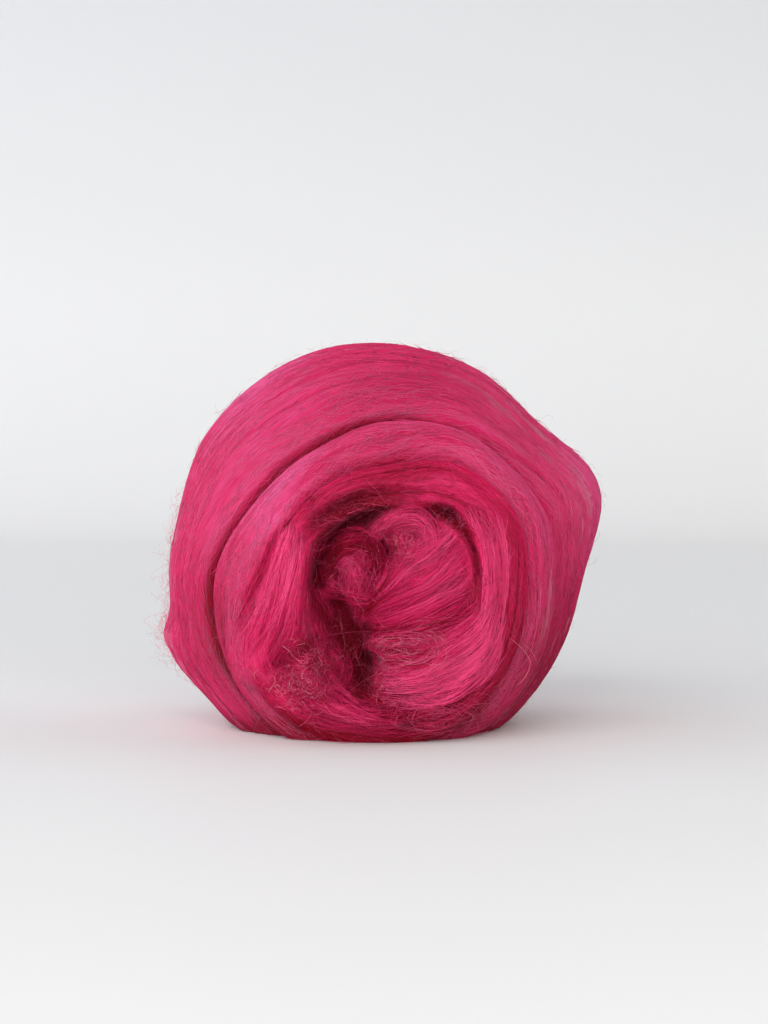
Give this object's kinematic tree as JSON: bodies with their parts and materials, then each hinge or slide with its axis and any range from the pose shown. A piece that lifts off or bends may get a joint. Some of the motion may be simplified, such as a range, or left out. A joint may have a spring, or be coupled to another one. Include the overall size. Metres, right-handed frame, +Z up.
{
  "type": "ball of viscose top",
  "caption": "Soft ball of combed viscose fibre, a wide sliver wound in overlapping turns around an open eye, resting on a small flat spot.",
  "frame": {"origin": "on the floor under the middle of the ball", "axes": "+Z up, -Y out of the open eye of the winding, +X to the right as the eye is seen"},
  "size_m": [0.121, 0.1016, 0.1065],
  "materials": {
    "viscose": "combed fibre with a soft silky sheen"
  },
  "bodies": {
    "root": {"wound_top": "viscose"}
  },
  "joints": []
}
